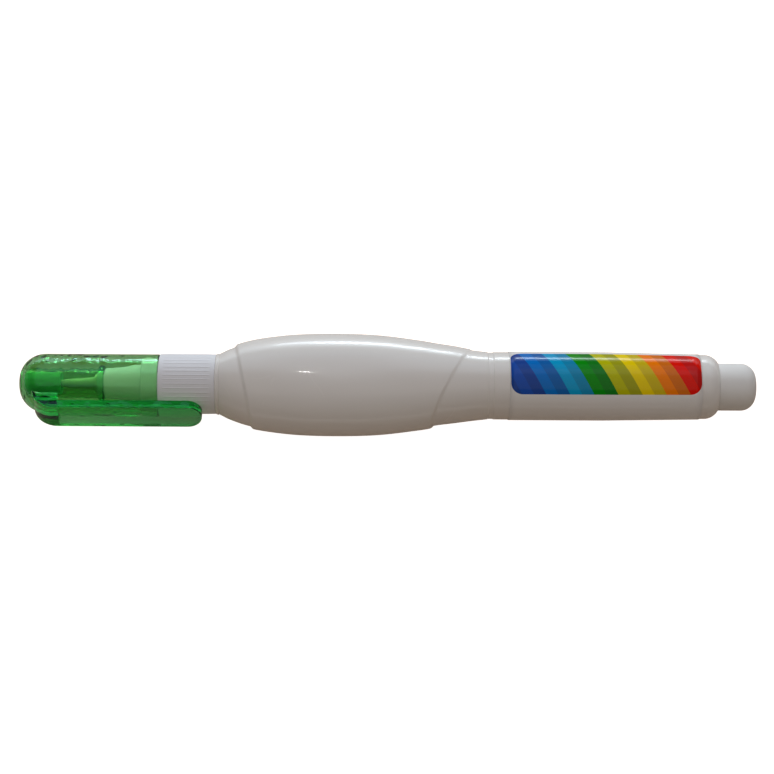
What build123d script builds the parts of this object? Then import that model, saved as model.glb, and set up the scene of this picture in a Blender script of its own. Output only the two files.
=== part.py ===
from build123d import *
import os
from math import cos, pi, radians, sin, sqrt, tan

# A squeeze correction pen with a needle valve, lying on a table with its cap towards -X.
# +Z is up, and the origin is on the table under the middle of the pen. Lengths are in millimetres.

# Fits between the pieces
fit_gap = 0.02  # radial gap of pieces that are pressed or glued together
slide_gap = 0.1  # radial gap of pieces that slide or turn
needle_gap = 0.06  # radial gap of the needle in the mouth of the tip
stop_gap = 0.1  # gap along the axis where a moving piece meets its stop
cut_over = 1.0  # how far a cutting shape runs past what it cuts

# Lengths along the pen, from the cap to the tail
cap_length = 26.5
collar_length = 10.625
rim_length = 0.8
belly_length = 50.445
barrel_length = 41.3
tail_shoulder_length = 2.45
tail_stub_length = 7.23

# Bottle
bottle_wall = 1.0
rim_radius = 5.85
barrel_radius = 6.4
barrel_taper_length = 19.4  # rear part of the barrel, which narrows
barrel_tail_radius = 6.08
barrel_tail_wall = 0.8
belly_width = 19.85
belly_thickness = 16.6  # over the thumb flats
thumb_flat_depth = 0.3  # what the flats above and below take off the squeeze area's crown
belly_station_shares = (0, 0.038, 0.105, 0.19, 0.30, 0.45, 0.60, 0.75, 0.81, 0.88, 0.94, 1)
belly_swell_shares = (0, 0.258, 0.574, 0.794, 0.955, 1, 0.914, 0.61, 0.438, 0.281, 0.133, 0)
pad_step = 0.45  # how far the raised squeeze area stands out of the belly
pad_rise_shares = (1, 1, 1, 1, 1, 1, 1, 1, 1, 0.8, 0.4, 0.15)
pad_front_share = 0.0852
pad_rear_share = 0.8741
pad_front_lean = 12.4  # degrees that the front edge leans, seen from above
pad_rear_lean = 28.2
groove_setback = 0.15  # shallow groove round the front of the barrel
groove_width = 1.15
groove_depth = 0.1
tail_face_radius = 4.75
tail_wall = 2.0
neck_length = 7.025
neck_radius = 4.6
neck_bore_radius = 3.5
neck_bead_height = 0.25
neck_bead_width = 1.0
neck_bead_share = 0.5

# Label, glued round the barrel
label_setback = 4.15
label_rear_margin = 1.05
label_thickness = 0.08

# Tail plug
plug_radius = 4.0
plug_length = 4.5
plug_wall = 0.9
stub_radius = 4.47
stub_end_round = 2.7
stub_end_wall = 1.6
plug_bead_height = 0.2
plug_bead_width = 0.8

# Nozzle: ribbed collar, spigot for the cap, nose and boss
collar_valley_radius = 5.65
rib_count = 42
rib_radius = 0.3
rib_height = 0.06  # how far the ribs stand out of the valleys
rib_margin = 0.15
rib_rear_margin = 0.1
spigot_length = 3.3
nose_length = 7.1
nose_rear_radius = 3.7
nose_front_radius = 2.75
boss_length = 1.4
boss_radius = 2.2
chamber_radius = 2.2
gasket_thickness = 0.5
gasket_bore_radius = 3.4

# Metal tip
tip_length = 7.9
tip_base_length = 3.8
tip_base_radius = 1.5
tip_flange_radius = 1.85
tip_flange_length = 0.4
tip_cone_radius = 1.25
tip_mouth_radius = 0.56
tip_mouth_length = 2.5
tip_bore_radius = 0.5

# Needle valve
needle_radius = 0.3
needle_reach = 0.4  # how far the needle stands out of the tip
needle_grip = 2.2  # how deep the needle sits in the slider
slider_head_length = 2.4
slider_flat_radius = 1.65
slider_flat_count = 4
slider_stem_radius = 0.8
slider_stem_length = 2.5
spring_radius = 1.45
spring_wire_radius = 0.16
spring_length = 5.6
spring_turns = 6
seat_flange_radius = 3.2
seat_flange_length = 0.8
seat_hole_radius = 0.9
seat_port_radius = 0.3
seat_port_count = 4

# Mixing ball, loose in the bottle
ball_radius = 2.2
ball_place_share = 0.52  # along the barrel

# Cap with its clip
cap_radius = 5.6
cap_wall = 0.7
cap_dome_length = 4.95
cap_dome_flat_radius = 1.0
cap_dome_inner_flat_radius = 0.8
cap_rim_round = 0.25
cap_tube_wall = 0.5
tube_bead_height = 0.6  # bead round the mouth of the sealing tube
tube_bead_length = 1.15
tube_bead_round = 0.4
seal_setback = 0.5  # from the inner end of the dome to the soft plug
seal_lap = 1.0  # how far the soft plug laps over the end of the tip
clip_gap = 0.95
clip_width = 5.9
clip_thickness = 1.65
clip_setback = 2.7  # from the end of the dome to the front of the clip
clip_length = 32.25
clip_front_round = 5.0
clip_root_length = 5.2
clip_tip_flat = 0.3  # straight middle of the clip's round end
clip_edge_round = 0.25
clip_turn = 18.0  # degrees that the clip points above the horizontal
pip_setback = 15.7  # from the front of the clip
pip_length = 5.3
pip_height = 0.45
pip_width = 1.4

# Stations along X
pen_length = (
    cap_length + stop_gap + collar_length + rim_length + belly_length
    + barrel_length + tail_shoulder_length + tail_stub_length
)
dome_x = -pen_length / 2
dome_inner_x = dome_x + cap_wall
dome_end_x = dome_x + cap_dome_length
mouth_x = dome_x + cap_length
collar_x = mouth_x + stop_gap
rim_x = collar_x + collar_length
belly_x = rim_x + rim_length
barrel_x = belly_x + belly_length
shoulder_x = barrel_x + barrel_length
taper_x = shoulder_x - barrel_taper_length
label_x = barrel_x + label_setback
label_end_x = shoulder_x - label_rear_margin
stub_x = shoulder_x + tail_shoulder_length
tail_x = stub_x + tail_stub_length
bore_end_x = stub_x - tail_wall
cavity_x = belly_x + belly_station_shares[1] * belly_length
neck_x = rim_x - neck_length
neck_bead_x = neck_x + neck_bead_share * neck_length
socket_x = neck_x - gasket_thickness
spigot_x = collar_x - spigot_length
nose_x = spigot_x - nose_length
boss_x = nose_x - boss_length
tip_x = boss_x - tip_length
tube_end_x = nose_x - stop_gap
chamber_x = boss_x + tip_base_length
needle_x = tip_x - needle_reach
slider_x = chamber_x + stop_gap
slider_back_x = slider_x + slider_head_length
seat_x = slider_back_x + spring_length
clip_x = dome_x + clip_setback
clip_end_x = clip_x + clip_length
pip_x = clip_x + pip_setback

# Sizes that follow from the fits
barrel_bore_radius = barrel_tail_radius - barrel_tail_wall
label_taper_share = (label_end_x - taper_x) / barrel_taper_length
label_end_drop = (barrel_radius - barrel_tail_radius) * label_taper_share
label_inner_radius = barrel_radius + fit_gap
label_radius = label_inner_radius + label_thickness
base_half_width = belly_width / 2 - pad_step
base_half_thickness = belly_thickness / 2 + thumb_flat_depth - pad_step
socket_radius = neck_radius + fit_gap
cap_bore_radius = cap_radius - cap_wall
spigot_radius = cap_bore_radius - slide_gap
slider_radius = chamber_radius - slide_gap
tube_bore_radius = boss_radius + slide_gap
tube_radius = tube_bore_radius + cap_tube_wall
clip_inner = cap_radius + clip_gap
clip_outer = clip_inner + clip_thickness
clip_tip_round = (clip_width - clip_tip_flat) / 2

# The pen's axis, the plane through it and the planes across it
axis_height = belly_thickness / 2
pen_axis = Axis((0, 0, axis_height), (1, 0, 0))
along = Plane.XY.offset(axis_height)
clip_normal = (0, -cos(radians(clip_turn)), sin(radians(clip_turn)))
clip_plane = Plane(origin=(0, 0, axis_height), x_dir=(1, 0, 0), z_dir=clip_normal)
clip_axis = Axis((0, 0, axis_height), clip_normal)
clip_side_plane = Plane(
    origin=(0, 0, axis_height), x_dir=(1, 0, 0), z_dir=clip_plane.y_dir * -1
)


def across(x):
    """The plane square to the pen's axis at x, with its own x along +Y."""
    return Plane(origin=(x, 0, axis_height), x_dir=(0, 1, 0), z_dir=(1, 0, 0))


def belly_half_size(station_share, swell_share, fullest):
    """Half a size of the belly between its round ends and its fullest section."""
    end_radius = rim_radius + (barrel_radius - rim_radius) * station_share
    return end_radius + (fullest - end_radius) * swell_share


def belly_sections(growths, first=0):
    """Oval sections along the belly, each grown by its own amount."""
    sections = []
    for station, swell, growth in list(zip(belly_station_shares, belly_swell_shares, growths))[first:]:
        with BuildSketch(across(belly_x + station * belly_length)) as section:
            Ellipse(
                belly_half_size(station, swell, base_half_width) + growth,
                belly_half_size(station, swell, base_half_thickness) + growth,
            )
        sections.append(section.sketch)
    return sections


def spring_point(turn):
    """A point on the spring's centre line, after a number of turns, and its direction there."""
    first_x = slider_back_x + spring_wire_radius + fit_gap
    rise = (spring_length - 2 * (spring_wire_radius + fit_gap)) / spring_turns
    angle = 2 * pi * turn
    point = Vector(
        first_x + rise * turn, spring_radius * cos(angle), axis_height + spring_radius * sin(angle)
    )
    direction = Vector(
        rise, -2 * pi * spring_radius * sin(angle), 2 * pi * spring_radius * cos(angle)
    ).normalized()
    return point, direction


def biarc_joint(start, start_direction, end, end_direction):
    """Where two equal tangent arcs meet between two points of a path, and the direction there."""
    chord = end - start
    turned = start_direction + end_direction
    a = 2 * (1 - start_direction.dot(end_direction))
    b = 2 * chord.dot(turned)
    reach = (sqrt(b * b + 4 * a * chord.dot(chord)) - b) / (2 * a)
    first_corner = start + start_direction * reach
    second_corner = end - end_direction * reach
    return (first_corner + second_corner) / 2, (second_corner - first_corner).normalized()


os.makedirs("parts", exist_ok=True)

# The raised squeeze area, between two slanted edges and two thumb flats, before it joins the bottle
with BuildPart() as pads:
    loft(sections=belly_sections([pad_step * rise for rise in pad_rise_shares]))
    pad_front_x = belly_x + pad_front_share * belly_length
    pad_rear_x = belly_x + pad_rear_share * belly_length
    front_slant = belly_width * tan(radians(pad_front_lean))
    rear_slant = belly_width * tan(radians(pad_rear_lean))
    with BuildSketch(along):
        with BuildLine():
            Polyline(
                (pad_front_x + front_slant, -belly_width),
                (pad_rear_x - rear_slant, -belly_width),
                (pad_rear_x + rear_slant, belly_width),
                (pad_front_x - front_slant, belly_width),
                close=True,
            )
        make_face()
    extrude(amount=belly_thickness / 2, both=True, mode=Mode.INTERSECT)

# Bottle: neck with a snap bead, belly, barrel and open tail
with BuildPart() as bottle:
    loft(sections=belly_sections([0 for station in belly_station_shares]))
    add(pads.part)
    with BuildSketch(along):
        with BuildLine():
            Polyline(
                (neck_x, 0),
                (neck_x, neck_radius),
                (neck_bead_x - neck_bead_width / 2, neck_radius),
                (neck_bead_x, neck_radius + neck_bead_height),
                (neck_bead_x + neck_bead_width / 2, neck_radius),
                (rim_x, neck_radius),
                (rim_x, rim_radius),
                (belly_x, rim_radius),
                (belly_x, 0),
                close=True,
            )
        make_face()
    revolve(axis=pen_axis)
    with BuildSketch(along):
        with BuildLine():
            Polyline(
                (stub_x, tail_face_radius),
                (stub_x, 0),
                (barrel_x, 0),
                (barrel_x, barrel_radius),
                (barrel_x + groove_setback, barrel_radius),
                (barrel_x + groove_setback, barrel_radius - groove_depth),
                (barrel_x + groove_setback + groove_width, barrel_radius - groove_depth),
                (barrel_x + groove_setback + groove_width, barrel_radius),
                (taper_x, barrel_radius),
                (shoulder_x, barrel_tail_radius),
            )
            TangentArc((shoulder_x, barrel_tail_radius), (stub_x, tail_face_radius), tangent=(1, 0))
        make_face()
    revolve(axis=pen_axis)
    loft(sections=belly_sections([-bottle_wall for station in belly_station_shares], 1), mode=Mode.SUBTRACT)
    with BuildSketch(along):
        with BuildLine():
            Polyline(
                (neck_x - cut_over, 0),
                (neck_x - cut_over, neck_bore_radius),
                (cavity_x, neck_bore_radius),
                (cavity_x, 0),
                close=True,
            )
        make_face()
    revolve(axis=pen_axis, mode=Mode.SUBTRACT)
    with BuildSketch(along):
        with BuildLine():
            Polyline(
                (barrel_x, 0),
                (barrel_x, barrel_bore_radius),
                (bore_end_x, barrel_bore_radius),
                (bore_end_x, plug_radius),
                (stub_x + cut_over, plug_radius),
                (stub_x + cut_over, 0),
                close=True,
            )
        make_face()
    revolve(axis=pen_axis, mode=Mode.SUBTRACT)
bottle.part.label = "bottle"
export_step(bottle.part, "parts/bottle.step")

# Printed film round the barrel
with BuildPart() as wrap_label:
    with BuildSketch(along):
        with BuildLine():
            Polyline(
                (label_x, label_inner_radius),
                (label_x, label_radius),
                (taper_x, label_radius),
                (label_end_x, label_radius - label_end_drop),
                (label_end_x, label_inner_radius - label_end_drop),
                (taper_x, label_inner_radius),
                close=True,
            )
        make_face()
    revolve(axis=pen_axis)
wrap_label.part.label = "wrap_label"
export_step(wrap_label.part, "parts/wrap_label.step")

# Hollow plug that closes the tail, with a bead that snaps in behind the tail wall
with BuildPart() as tail_plug:
    skirt_radius = plug_radius - fit_gap
    bead_back_x = bore_end_x - fit_gap
    with BuildSketch(along):
        with BuildLine():
            Polyline(
                (tail_x, 0),
                (tail_x, stub_radius - stub_end_round),
            )
            RadiusArc(
                (tail_x, stub_radius - stub_end_round),
                (tail_x - stub_end_round, stub_radius),
                -stub_end_round,
            )
            Polyline(
                (tail_x - stub_end_round, stub_radius),
                (stub_x, stub_radius),
                (stub_x, skirt_radius),
                (bead_back_x, skirt_radius),
                (bead_back_x, skirt_radius + plug_bead_height),
                (bead_back_x - plug_bead_width, skirt_radius),
                (stub_x - plug_length, skirt_radius),
                (stub_x - plug_length, skirt_radius - plug_wall),
                (tail_x - stub_end_wall, skirt_radius - plug_wall),
                (tail_x - stub_end_wall, 0),
                (tail_x, 0),
            )
        make_face()
    revolve(axis=pen_axis)
tail_plug.part.label = "tail_plug"
export_step(tail_plug.part, "parts/tail_plug.step")

# Nozzle: the collar snaps onto the neck, and the nose holds the valve and the tip
with BuildPart() as nozzle:
    with BuildSketch(along):
        with BuildLine():
            Polyline(
                (boss_x, tip_base_radius + fit_gap),
                (boss_x, boss_radius),
                (nose_x, boss_radius),
                (nose_x, nose_front_radius),
                (spigot_x, nose_rear_radius),
                (spigot_x, spigot_radius),
                (collar_x, spigot_radius),
                (collar_x, collar_valley_radius),
                (rim_x, collar_valley_radius),
                (rim_x, socket_radius),
                (neck_bead_x + neck_bead_width / 2, socket_radius),
                (neck_bead_x, socket_radius + neck_bead_height),
                (neck_bead_x - neck_bead_width / 2, socket_radius),
                (socket_x, socket_radius),
                (socket_x, chamber_radius),
                (chamber_x, chamber_radius),
                (chamber_x, tip_base_radius + fit_gap),
                close=True,
            )
        make_face()
    revolve(axis=pen_axis)
    with BuildSketch(across(collar_x + rib_margin)):
        with PolarLocations(collar_valley_radius + rib_height - rib_radius, rib_count):
            Circle(rib_radius)
    extrude(amount=collar_length - rib_margin - rib_rear_margin)
nozzle.part.label = "nozzle"
export_step(nozzle.part, "parts/nozzle.step")

# Soft washer between the neck and the nozzle
with BuildPart() as neck_gasket:
    with BuildSketch(across(socket_x)):
        Circle(neck_radius)
        Circle(gasket_bore_radius, mode=Mode.SUBTRACT)
    extrude(amount=gasket_thickness)
neck_gasket.part.label = "neck_gasket"
export_step(neck_gasket.part, "parts/neck_gasket.step")

# Metal tip, pressed into the nose up to its flange
with BuildPart() as metal_tip:
    mouth_bore_radius = needle_radius + needle_gap
    with BuildSketch(along):
        with BuildLine():
            Polyline(
                (chamber_x, tip_bore_radius),
                (chamber_x, tip_base_radius),
                (boss_x, tip_base_radius),
                (boss_x, tip_flange_radius),
                (boss_x - tip_flange_length, tip_flange_radius),
                (boss_x - tip_flange_length, tip_cone_radius),
                (tip_x, tip_mouth_radius),
                (tip_x, mouth_bore_radius),
                (tip_x + tip_mouth_length, mouth_bore_radius),
                (tip_x + tip_mouth_length, tip_bore_radius),
                close=True,
            )
        make_face()
    revolve(axis=pen_axis)
metal_tip.part.label = "metal_tip"
export_step(metal_tip.part, "parts/metal_tip.step")

# Needle that closes the mouth of the tip
with BuildPart() as valve_needle:
    with BuildSketch(along):
        with BuildLine():
            Line((needle_x, 0), (slider_x + needle_grip, 0))
            Line((slider_x + needle_grip, 0), (slider_x + needle_grip, needle_radius))
            Line((slider_x + needle_grip, needle_radius), (needle_x + needle_radius, needle_radius))
            RadiusArc((needle_x + needle_radius, needle_radius), (needle_x, 0), -needle_radius)
        make_face()
    revolve(axis=pen_axis)
valve_needle.part.label = "valve_needle"
export_step(valve_needle.part, "parts/valve_needle.step")

# Slider that carries the needle, with flats that let the fluid past
with BuildPart() as needle_slider:
    needle_hole_radius = needle_radius + fit_gap
    with BuildSketch(across(slider_x)):
        Circle(slider_radius)
        with PolarLocations(slider_flat_radius + slider_radius / 2, slider_flat_count):
            Rectangle(slider_radius, 2 * slider_radius, mode=Mode.SUBTRACT)
    extrude(amount=slider_head_length)
    with BuildSketch(across(slider_back_x)):
        Circle(slider_stem_radius)
    extrude(amount=slider_stem_length)
    with BuildSketch(across(slider_x)):
        Circle(needle_hole_radius)
    extrude(amount=needle_grip, mode=Mode.SUBTRACT)
needle_slider.part.label = "needle_slider"
export_step(needle_slider.part, "parts/needle_slider.step")

# Spring that pushes the slider forwards, one wire on tangent arcs
with BuildPart() as valve_spring:
    with BuildLine() as coil:
        for quarter in range(4 * spring_turns):
            start, start_direction = spring_point(quarter / 4)
            end, end_direction = spring_point((quarter + 1) / 4)
            joint, joint_direction = biarc_joint(start, start_direction, end, end_direction)
            TangentArc(start, joint, tangent=start_direction)
            TangentArc(joint, end, tangent=joint_direction)
    wire_start, wire_direction = spring_point(0)
    with BuildSketch(Plane(origin=wire_start, z_dir=wire_direction)):
        Circle(spring_wire_radius)
    sweep(path=coil.wire())
valve_spring.part.label = "valve_spring"
export_step(valve_spring.part, "parts/valve_spring.step")

# Seat that closes the chamber behind the spring, with ports for the fluid
with BuildPart() as spring_seat:
    with BuildSketch(across(seat_x)):
        Circle(chamber_radius - fit_gap)
    extrude(amount=socket_x - seat_x)
    with BuildSketch(across(socket_x)):
        Circle(seat_flange_radius)
    extrude(amount=seat_flange_length)
    with BuildSketch(across(seat_x)):
        Circle(seat_hole_radius)
        with PolarLocations((seat_hole_radius + chamber_radius) / 2, seat_port_count):
            Circle(seat_port_radius)
    extrude(amount=socket_x - seat_x + seat_flange_length, mode=Mode.SUBTRACT)
spring_seat.part.label = "spring_seat"
export_step(spring_seat.part, "parts/spring_seat.step")

# Steel ball that mixes the fluid when the pen is shaken
ball_x = barrel_x + ball_place_share * barrel_length
ball_height = axis_height - barrel_bore_radius + ball_radius + stop_gap
with BuildPart(Plane(origin=(ball_x, 0, ball_height))) as mixing_ball:
    Sphere(ball_radius)
mixing_ball.part.label = "mixing_ball"
export_step(mixing_ball.part, "parts/mixing_ball.step")

# Pocket clip: a flat arm on a deep web at the front, with a pip on its inner side
with BuildPart() as clip:
    with BuildSketch(clip_side_plane):
        with BuildLine():
            RadiusArc(
                (clip_x, clip_outer - clip_front_round),
                (clip_x + clip_front_round, clip_outer),
                clip_front_round,
            )
            Polyline(
                (clip_x + clip_front_round, clip_outer),
                (clip_end_x, clip_outer),
                (clip_end_x, clip_inner),
                (clip_x + clip_root_length, clip_inner),
                (clip_x + clip_root_length, 0),
                (clip_x, 0),
                (clip_x, clip_outer - clip_front_round),
            )
        make_face()
    extrude(amount=clip_width / 2, both=True)
    fillet(clip.edges().filter_by(clip_axis).group_by(Axis.X)[-1], clip_tip_round)
    outer_face = clip.faces().sort_by(clip_axis)[-1]
    fillet(outer_face.edges().sort_by(Axis.X)[1:], clip_edge_round)
    with BuildSketch(clip_side_plane):
        with BuildLine():
            ThreePointArc(
                (pip_x, clip_inner),
                (pip_x + pip_length / 2, clip_inner - pip_height),
                (pip_x + pip_length, clip_inner),
            )
            Line((pip_x + pip_length, clip_inner), (pip_x, clip_inner))
        make_face()
    extrude(amount=pip_width / 2, both=True)

# Cap: domed shell with the clip outside and the sealing tube inside
with BuildPart() as cap_shell:
    with BuildSketch(along):
        with BuildLine():
            Polyline((mouth_x, cap_radius), (mouth_x, 0), (dome_x, 0), (dome_x, cap_dome_flat_radius))
            EllipticalCenterArc(
                (dome_end_x, cap_dome_flat_radius),
                cap_dome_length,
                cap_radius - cap_dome_flat_radius,
                start_angle=90,
                arc_size=90,
            )
            Line((dome_end_x, cap_radius), (mouth_x, cap_radius))
        make_face()
    revolve(axis=pen_axis)
    fillet(cap_shell.edges().group_by(Axis.X)[-1], cap_rim_round)
    add(clip.part)
    with BuildSketch(along):
        with BuildLine():
            Polyline(
                (mouth_x + cut_over, cap_bore_radius),
                (mouth_x + cut_over, 0),
                (dome_inner_x, 0),
                (dome_inner_x, cap_dome_inner_flat_radius),
            )
            EllipticalCenterArc(
                (dome_end_x, cap_dome_inner_flat_radius),
                cap_dome_length - cap_wall,
                cap_bore_radius - cap_dome_inner_flat_radius,
                start_angle=90,
                arc_size=90,
            )
            Line((dome_end_x, cap_bore_radius), (mouth_x + cut_over, cap_bore_radius))
        make_face()
    revolve(axis=pen_axis, mode=Mode.SUBTRACT)
    with BuildSketch(across(dome_inner_x)):
        Circle(tube_radius)
        Circle(tube_bore_radius, mode=Mode.SUBTRACT)
    extrude(amount=tube_end_x - dome_inner_x)
    with BuildSketch(across(tube_end_x - tube_bead_length)):
        Circle(tube_radius + tube_bead_height)
        Circle(tube_bore_radius, mode=Mode.SUBTRACT)
    bead = extrude(amount=tube_bead_length)
    fillet(bead.edges().sort_by(SortBy.LENGTH)[-2:], tube_bead_round)
cap_shell.part.label = "cap_shell"
export_step(cap_shell.part, "parts/cap_shell.step")

# Soft plug in the sealing tube, which the end of the tip seats in
with BuildPart() as cap_tip_seal:
    cone_length = tip_length - tip_flange_length
    cone_growth = (tip_cone_radius - tip_mouth_radius) / cone_length
    well_radius = tip_mouth_radius + slide_gap
    with BuildSketch(along):
        with BuildLine():
            Polyline(
                (dome_inner_x + seal_setback, 0),
                (dome_inner_x + seal_setback, tube_bore_radius - slide_gap),
                (tip_x + seal_lap, tube_bore_radius - slide_gap),
                (tip_x + seal_lap, well_radius + cone_growth * seal_lap),
                (tip_x - stop_gap, well_radius),
                (tip_x - stop_gap, needle_radius + slide_gap),
                (needle_x - stop_gap, needle_radius + slide_gap),
                (needle_x - stop_gap, 0),
                close=True,
            )
        make_face()
    revolve(axis=pen_axis)
cap_tip_seal.part.label = "cap_tip_seal"
export_step(cap_tip_seal.part, "parts/cap_tip_seal.step")

# The least gap between neighbouring turns of the spring
coil_points = [coil.wire() @ (step / (16 * spring_turns)) for step in range(16 * spring_turns + 1)]
turn_gaps = [
    (second - first).length - 2 * spring_wire_radius for first, second in zip(coil_points, coil_points[16:])
]
print(f"least gap between the spring's turns: {min(turn_gaps):.2f} mm")
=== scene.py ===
from functools import partial
from math import asin, cos, pi, radians, sin

import bmesh
import bpy
from mathutils import Matrix, Vector


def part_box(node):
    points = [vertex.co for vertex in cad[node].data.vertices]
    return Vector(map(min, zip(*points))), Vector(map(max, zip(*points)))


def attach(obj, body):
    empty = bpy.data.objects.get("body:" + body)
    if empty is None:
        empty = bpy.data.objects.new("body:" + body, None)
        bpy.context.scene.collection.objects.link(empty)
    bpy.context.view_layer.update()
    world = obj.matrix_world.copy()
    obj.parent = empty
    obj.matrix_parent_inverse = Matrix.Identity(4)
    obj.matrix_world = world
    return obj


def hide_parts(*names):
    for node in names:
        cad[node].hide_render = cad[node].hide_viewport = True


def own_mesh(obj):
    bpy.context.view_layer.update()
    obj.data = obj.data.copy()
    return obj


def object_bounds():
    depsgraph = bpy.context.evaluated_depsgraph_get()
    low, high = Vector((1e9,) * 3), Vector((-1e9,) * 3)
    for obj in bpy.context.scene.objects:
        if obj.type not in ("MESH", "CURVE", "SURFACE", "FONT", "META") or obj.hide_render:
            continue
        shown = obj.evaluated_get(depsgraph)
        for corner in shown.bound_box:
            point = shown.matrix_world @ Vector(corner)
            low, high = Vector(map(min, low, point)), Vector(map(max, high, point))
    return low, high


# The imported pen, in metres: +X runs from the cap to the tail, +Z is up from the table.
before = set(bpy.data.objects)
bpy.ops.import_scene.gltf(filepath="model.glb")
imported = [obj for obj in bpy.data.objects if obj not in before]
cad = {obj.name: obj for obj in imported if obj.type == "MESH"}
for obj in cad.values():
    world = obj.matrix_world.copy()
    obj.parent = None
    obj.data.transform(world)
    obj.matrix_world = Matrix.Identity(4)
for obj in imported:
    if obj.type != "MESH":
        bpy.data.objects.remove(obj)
cad_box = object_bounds()

bl_info = {
    "name": "Squeeze correction pen",
    "version": (1, 0, 0),
    "blender": (4, 5, 0),
    "location": "View3D > Sidebar > Pen",
    "description": "Dresses the packed pen, on a plain stage",
    "category": "Object",
}

# Places read from the frame
bottle_low, bottle_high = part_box("bottle")
label_low, label_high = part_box("wrap_label")
nozzle_low, nozzle_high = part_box("nozzle")
plug_low, plug_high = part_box("tail_plug")
gasket_low, gasket_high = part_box("neck_gasket")
tip_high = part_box("metal_tip")[1]
axis_height = (bottle_low.z + bottle_high.z) / 2
label_length = label_high.x - label_low.x

# The belly between its two round ends: where along it, how far it swells there, and how far the
# squeeze area is raised there, each as a share
BELLY_STATION_SHARES = (0, 0.038, 0.105, 0.19, 0.30, 0.45, 0.60, 0.75, 0.81, 0.88, 0.94, 1)
BELLY_SWELL_SHARES = (0, 0.258, 0.574, 0.794, 0.955, 1, 0.914, 0.61, 0.438, 0.281, 0.133, 0)
PAD_RISE_SHARES = (1, 1, 1, 1, 1, 1, 1, 1, 1, 0.8, 0.4, 0.15)

# What the bottle's profile holds at each of its points
BOTTLE_ROW = ("along", "end_radius", "swell", "growth", "rise", "skin")

# Inks of the label's stripes, from its front to its tail end, and what darkens half of each stripe
STRIPE_INKS = (
    (0.013, 0.078, 0.415),
    (0.002, 0.160, 0.550),
    (0.002, 0.330, 0.610),
    (0.002, 0.270, 0.004),
    (0.490, 0.490, 0.002),
    (0.840, 0.630, 0.002),
    (0.920, 0.210, 0.002),
    (0.800, 0.008, 0.002),
)
DEEP_INK = (0.02, 0.02, 0.03)

# Lamps: place, width, depth, power in watts and tint
DAYLIGHT = (0.82, 0.93, 1.0)
LAMPS = {
    # A low window behind the pen, its brightest pane, and the pale wall round it
    "window": ((0.03, 1.0, 0.09), 0.45, 0.14, 1.8, DAYLIGHT),
    "pane": ((0.05, 0.98, 0.09), 0.25, 0.14, 0.75, DAYLIGHT),
    "wall": ((0.0, 1.1, 0.17), 1.7, 0.32, 4.5, DAYLIGHT),
    # Dim sky high behind the pen, a wide soft ceiling, and a small lamp overhead
    "sky": ((0.0, 0.75, 0.95), 1.8, 0.8, 3.5, (0.60, 0.75, 1.0)),
    "ceiling": ((0.0, 0.06, 1.25), 2.2, 1.8, 7.4, (1.0, 0.90, 0.805)),
    "spark": ((-0.085, 0.335, 1.0), 0.02, 0.022, 0.18, (1.0, 0.98, 0.95)),
}

# Plastics and rubber: scales of their marks, shade of their clouds, roughness, what each mark adds to it,
# depth of their grain, and the shader's plain values
PLASTICS = {
    # Blown polyethylene, smooth under a thin shiny skin, its shade a setting
    "blown": (
        {"Cloud Scale": 55.0}, None, 0.22, {"Scuff": 0.15, "Cloud": 0.06}, 0.000004,
        {"Specular IOR Level": 0.22, "Coat Weight": 0.25, "Coat Roughness": 0.06},
    ),
    # Moulded polypropylene, satin
    "moulded": (
        {"Cloud Scale": 55.0}, 0.94, 0.55, {"Scuff": 0.10, "Cloud": 0.06}, 0.000006,
        {"Specular IOR Level": 0.16},
    ),
    # Natural acetal, waxy and satin
    "acetal": ({"Cloud Scale": 500.0, "Grain Scale": 5000.0}, 0.94, 0.36, {"Grain": 0.15}, 0.000004, {}),
    # Matt elastomer with a fine bloom
    "rubber": ({"Cloud Scale": 600.0, "Grain Scale": 7000.0}, 0.88, 0.55, {"Grain": 0.2}, 0.000008, {}),
    # Glossy film
    "film": (
        {"Cloud Scale": 90.0, "Scuff Scale": 160.0}, 0.95, 0.14, {"Scuff": 0.2}, 0.000003,
        {"Specular IOR Level": 0.02, "Coat Weight": 0.25, "Coat Roughness": 0.04},
    ),
}

# Radial gap of a pressed fit, and how close two points are that become one
FIT_GAP = 0.00002
MERGE_DISTANCE = 1e-7

# Where most of a noise lies
NOISE_LOW, NOISE_HIGH = 0.3, 0.7


# Settings


def setting(kind, **fixed):
    """Makes settings of one kind, each from its default and what it is."""
    return lambda default, description: kind(default=default, description=description, **fixed)


length = setting(bpy.props.FloatProperty, precision=5, unit="LENGTH", subtype="DISTANCE")
turn = setting(bpy.props.FloatProperty, unit="ROTATION", subtype="ANGLE")
colour = setting(bpy.props.FloatVectorProperty, size=3, min=0, max=1, subtype="COLOR")
number = setting(bpy.props.FloatProperty, precision=4)
count = setting(bpy.props.IntProperty, min=3)


def named(group):
    """Names each setting of a group in words, after its attribute."""
    for name, held in group.__annotations__.items():
        held.keywords["name"] = name.replace("_", " ").capitalize()
    return group


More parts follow.
